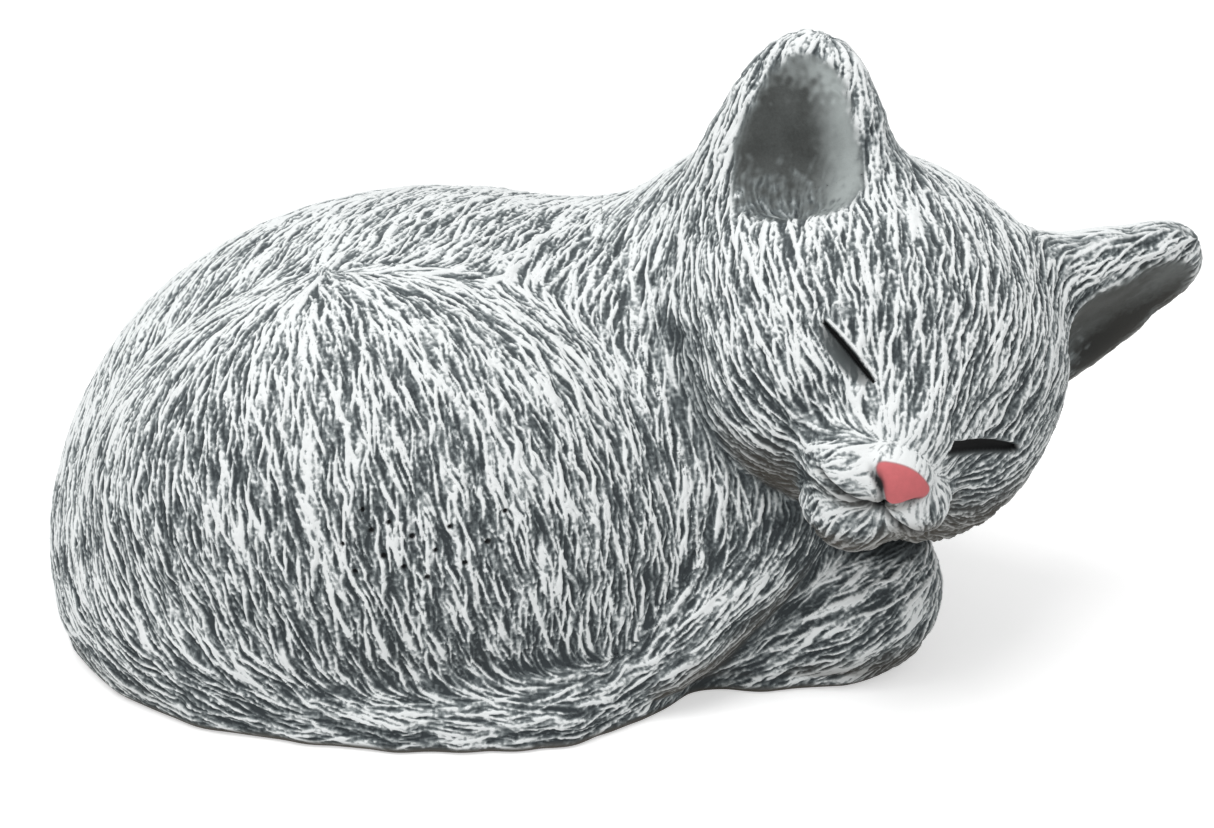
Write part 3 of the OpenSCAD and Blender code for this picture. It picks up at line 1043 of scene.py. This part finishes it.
# ------------ materials
class Nodes:
    """A little help to write a node tree as code."""

    def __init__(self, name):
        self.material = bpy.data.materials.new(name)
        self.material.use_nodes = True
        self.tree = self.material.node_tree
        self.shader = self.tree.nodes["Principled BSDF"]

    def add(self, kind, **settings):
        node = self.tree.nodes.new(kind)
        for key, value in settings.items():
            setattr(node, key, value)
        return node

    def feed(self, socket, value):
        if isinstance(value, bpy.types.NodeSocket):
            self.tree.links.new(value, socket)
        else:
            socket.default_value = value

    def math(self, operation, a, b, clamp=False):
        node = self.add("ShaderNodeMath", operation=operation, use_clamp=clamp)
        self.feed(node.inputs[0], a)
        self.feed(node.inputs[1], b)
        return node.outputs[0]

    def value(self, name):
        return self.add("ShaderNodeAttribute", attribute_name=name).outputs["Fac"]

    def noise(self, scale, detail=3.0, roughness=0.6):
        node = self.add("ShaderNodeTexNoise")
        place = self.add("ShaderNodeTexCoord").outputs["Object"]
        self.feed(node.inputs["Vector"], place)
        node.inputs["Scale"].default_value = scale
        node.inputs["Detail"].default_value = detail
        node.inputs["Roughness"].default_value = roughness
        return node.outputs["Fac"]

    def mix(self, share, a, b):
        node = self.add("ShaderNodeMix", data_type="RGBA")
        self.feed(node.inputs["Factor"], share)
        self.feed(node.inputs["A"], a)
        self.feed(node.inputs["B"], b)
        return node.outputs["Result"]

    def ramp(self, value, stops):
        node = self.add("ShaderNodeValToRGB")
        self.feed(node.inputs["Fac"], value)
        elements = node.color_ramp.elements
        while len(elements) < len(stops):
            elements.new(0.5)
        for element, (at, colour) in zip(elements, stops):
            element.position = at
            element.color = colour
        return node.outputs["Color"]

    def finish(self, colour, roughness, gloss):
        self.feed(self.shader.inputs["Base Color"], colour)
        self.shader.inputs["Roughness"].default_value = roughness
        self.shader.inputs["Specular IOR Level"].default_value = gloss
        return self.material


def srgb(red, green, blue):
    """A linear colour from the 0 to 255 values of a colour chart."""
    return tuple(((c / 255 + 0.055) / 1.055) ** 2.4 for c in (red, green, blue)) + (1.0,)


CREASE_SHADE = srgb(40, 45, 47)               # painted shade in creases
GROOVE = srgb(58, 64, 67)             # the fur's four tones, from groove to ridge
SLATE = srgb(106, 113, 115)
ASH = srgb(164, 170, 171)
CHALK = srgb(243, 246, 246)
FUR_TONES = ((0.06, GROOVE), (0.34, SLATE), (0.55, ASH), (0.80, CHALK))
LID = srgb(92, 98, 99)                # where no fur is carved
INK_AND_SHADE = srgb(14, 15, 16)                # ink, and painted shade in recesses: slits, nostrils, mouth and pinholes
BOWL_DARK = srgb(42, 43, 41)          # in the ears' hollows, partly painted shade
# pale in the ears' hollows: painted light, mostly on the lit ear
BOWL_PALE = srgb(172, 179, 178)
UNDERSIDE_SHADE_BROWN = srgb(84, 76, 66)        # brown painted shade, on undersides and at the foot
PINK = srgb(222, 116, 120)
PINK_WORN = srgb(186, 100, 102)
CREASE_OPENNESS, CREASE_RISE = 0.56, 2.3     # painted crease shade starts below this openness
COAT_OPENNESS, COAT_RISE = 0.42, 2.1         # and chalk holds above this one, less below it: dry brush and painted shade,
COAT_LEAST, COAT_GAIN = 0.3, 0.75            # by this share and this much more


def grain(n, scale, detail, share, roughness=0.6):
    """Noise about zero, to roughen an edge between two paints."""
    return n.math("MULTIPLY", n.math("SUBTRACT", n.noise(scale, detail, roughness), 0.5), share)


def stone_bump(n, strength, distance):
    bump = n.add("ShaderNodeBump")
    bump.inputs["Strength"].default_value = strength
    bump.inputs["Distance"].default_value = distance
    n.feed(bump.inputs["Height"], n.noise(2600.0, 4.0))
    n.feed(n.shader.inputs["Normal"], bump.outputs["Normal"])


def fur_paint(n, grit):
    """Dark in the grooves, grey, then chalk white dragged over the ridges that stand free; less
    chalk in closed places is partly dry brush and partly painted shade.
    """
    coat = n.math("ADD", n.math("ADD", n.value("ridge"), grit), grain(n, 110.0, 2.0, 0.12))
    free = n.math("SUBTRACT", n.value("open"), COAT_OPENNESS)
    free = n.math("MULTIPLY", free, COAT_RISE, True)
    hold = n.math("ADD", n.math("MULTIPLY", free, COAT_GAIN), COAT_LEAST)
    return n.ramp(n.math("MULTIPLY", coat, hold), FUR_TONES)


def hollow_paint(n, grit):
    """The ears' hollows: dark, dusty, and pale where ridge says so; the dark is partly painted
    shade and the paleness is painted light.
    """
    dusty = n.math("MULTIPLY", n.math("ADD", n.math("MULTIPLY", grit, 1.6), n.noise(160.0)), 0.24)
    return n.mix(n.math("ADD", n.value("ridge"), dusty, True), BOWL_DARK, BOWL_PALE)


def painted(n):
    """The figure's paint, all but the pink, with painted shade in creases and underneath."""
    grit = grain(n, 1800.0, 4.0, 0.34, 0.7)
    colour = n.mix(n.value("fur"), LID, fur_paint(n, grit))
    colour = n.mix(n.value("bowl"), colour, hollow_paint(n, grit))
    # Brown painted shade underneath and at the foot.
    colour = n.mix(n.math("MULTIPLY", n.value("under"), 0.8), colour, UNDERSIDE_SHADE_BROWN)
    # Painted shade: darker where the skin is closed in, in creases and under the chin.
    crease = n.math("SUBTRACT", CREASE_OPENNESS, n.value("open"))
    colour = n.mix(n.math("MULTIPLY", crease, CREASE_RISE, True), colour, CREASE_SHADE)
    return n.mix(n.value("dark"), colour, INK_AND_SHADE)


def painted_stone():
    n = Nodes("painted_stone")
    stone_bump(n, 0.35, 0.0002)
    return n.finish(painted(n), roughness=0.8, gloss=0.25)


def pink_paint():
    """Matte pink, worn where the stone's grain stands out, over the painted stone."""
    n = Nodes("pink_paint")
    pink = n.mix(n.math("MULTIPLY", n.noise(700.0, 4.0, 0.7), 0.8, True), PINK, PINK_WORN)
    # Dark on the nose: ink, and painted shade in the nostrils and along its left edge.
    pink = n.mix(n.math("MULTIPLY", n.value("dark"), 0.85, True), pink, CREASE_SHADE)
    stone_bump(n, 0.25, 0.0001)
    return n.finish(n.mix(n.value("pink"), painted(n), pink), roughness=0.7, gloss=0.3)


def build_figure():
    skin, values = carved_skin()
    normals = skin.normals()
    finishes = {"painted_stone": painted_stone(), "pink_paint": pink_paint()}
    for name in PIECES:
        piece = build_piece(name, skin, values, normals)
        finish = "pink_paint" if name == "nose" else "painted_stone"
        piece.data.materials.append(finishes[finish])
        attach(piece, "root")
        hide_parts(name)


# ------------ stage, light and camera
PAPER = (0.9, 0.9, 0.9, 1)
PAPER_GLOW = 0.5
FLOOR_HALF = 3.0
AMBIENT = 0.52
KEY_PLACE, KEY_TARGET = (-0.2, -0.3, 0.9), (0, 0, 0.04)
KEY_SIZE, KEY_POWER = 0.6, 5.2
CAMERA_TARGET = (-0.0035, 0.0, 0.042)
CAMERA_DISTANCE = 0.6
CAMERA_RISE = math.radians(24)
LENS = 95.15
NEAREST_SEEN = 0.01


def build_floor():
    """White paper: its own glow, which lights nothing, lifts it to white but for the shadow."""
    n = Nodes("paper")
    n.shader.inputs["Emission Color"].default_value = (1, 1, 1, 1)
    seen = n.add("ShaderNodeLightPath")
    eye = n.math("MAXIMUM", seen.outputs["Is Camera Ray"], seen.outputs["Is Glossy Ray"])
    n.feed(n.shader.inputs["Emission Strength"], n.math("MULTIPLY", eye, PAPER_GLOW))
    corners = [(x * FLOOR_HALF, y * FLOOR_HALF, 0) for x, y in ((-1, -1), (1, -1), (1, 1), (-1, 1))]
    mesh = bpy.data.meshes.new("floor")
    mesh.from_pydata(corners, [], [(0, 1, 2, 3)])
    mesh.materials.append(n.finish(PAPER, roughness=0.95, gloss=0.0))
    floor = bpy.data.objects.new("floor", mesh)
    bpy.context.scene.collection.objects.link(floor)


def soft_light(name, place, target, size, power):
    data = bpy.data.lights.new(name, "AREA")
    data.size = size
    data.energy = power
    lamp = bpy.data.objects.new(name, data)
    lamp.location = place
    aim(lamp, target)
    bpy.context.scene.collection.objects.link(lamp)


def aim(thing, target):
    """Turns a lamp or camera towards a point."""
    way = Vector(target) - Vector(thing.location)
    thing.rotation_euler = way.to_track_quat("-Z", "Y").to_euler()


def build_world():
    """A plain white surround: soft as light, and full white where it is looked at."""
    world = bpy.data.worlds.new("studio")
    world.use_nodes = True
    tree = world.node_tree
    light = tree.nodes["Background"]
    light.inputs["Color"].default_value = (1, 1, 1, 1)
    path = tree.nodes.new("ShaderNodeLightPath")
    seen = tree.nodes.new("ShaderNodeMath")
    seen.operation = "MAXIMUM"
    tree.links.new(path.outputs["Is Camera Ray"], seen.inputs[0])
    tree.links.new(path.outputs["Is Glossy Ray"], seen.inputs[1])
    level = tree.nodes.new("ShaderNodeMapRange")
    level.inputs["To Min"].default_value = AMBIENT
    level.inputs["To Max"].default_value = 1.0
    tree.links.new(seen.outputs[0], level.inputs["Value"])
    tree.links.new(level.outputs["Result"], light.inputs["Strength"])
    bpy.context.scene.world = world


def build_camera():
    data = bpy.data.cameras.new("camera")
    data.lens = LENS
    data.clip_start = NEAREST_SEEN
    camera = bpy.data.objects.new("camera", data)
    x, y, z = CAMERA_TARGET
    camera.location = (x, y - CAMERA_DISTANCE * math.cos(CAMERA_RISE),
                       z + CAMERA_DISTANCE * math.sin(CAMERA_RISE))
    aim(camera, CAMERA_TARGET)
    bpy.context.scene.collection.objects.link(camera)
    bpy.context.scene.camera = camera


build_figure()
build_floor()
build_world()
soft_light("key", KEY_PLACE, KEY_TARGET, KEY_SIZE, KEY_POWER)
build_camera()
bpy.context.scene.view_settings.view_transform = "Standard"
